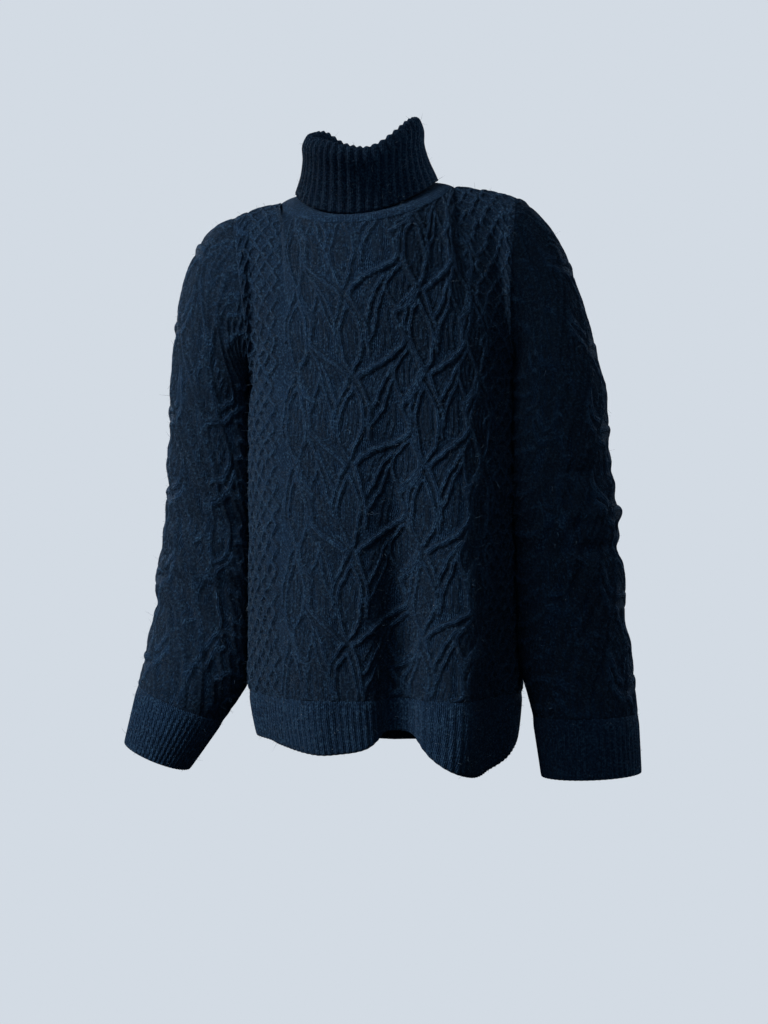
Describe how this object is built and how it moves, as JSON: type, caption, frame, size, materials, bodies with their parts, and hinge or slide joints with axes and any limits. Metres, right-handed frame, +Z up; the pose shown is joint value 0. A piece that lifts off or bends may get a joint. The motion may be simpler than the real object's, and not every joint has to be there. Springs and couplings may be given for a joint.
{
  "type": "cable knit turtleneck",
  "caption": "Hollow long-sleeved knitted pullover with raised cable lattice, ribbed hem and cuffs and a folded ribbed collar.",
  "frame": {"origin": "middle of the neck opening, level with the shoulder seams, where the garment is carried", "axes": "+Z up along the body, -Y the way the front faces, +X towards the wearer's left"},
  "size_m": [0.5715, 0.2508, 0.7216],
  "materials": {
    "wool_cable": "matt woollen knit, dark navy, lightly brushed",
    "wool_rib": "matt woollen rib, dark navy"
  },
  "bodies": {
    "root": {"front": "wool_cable", "back": "wool_cable", "sleeve_left": "wool_cable", "sleeve_right": "wool_cable", "cuff_left": "wool_rib", "cuff_right": "wool_rib", "hem_rib_front": "wool_rib", "hem_rib_back": "wool_rib", "neck_band": "wool_rib", "collar": "wool_rib"}
  },
  "joints": []
}
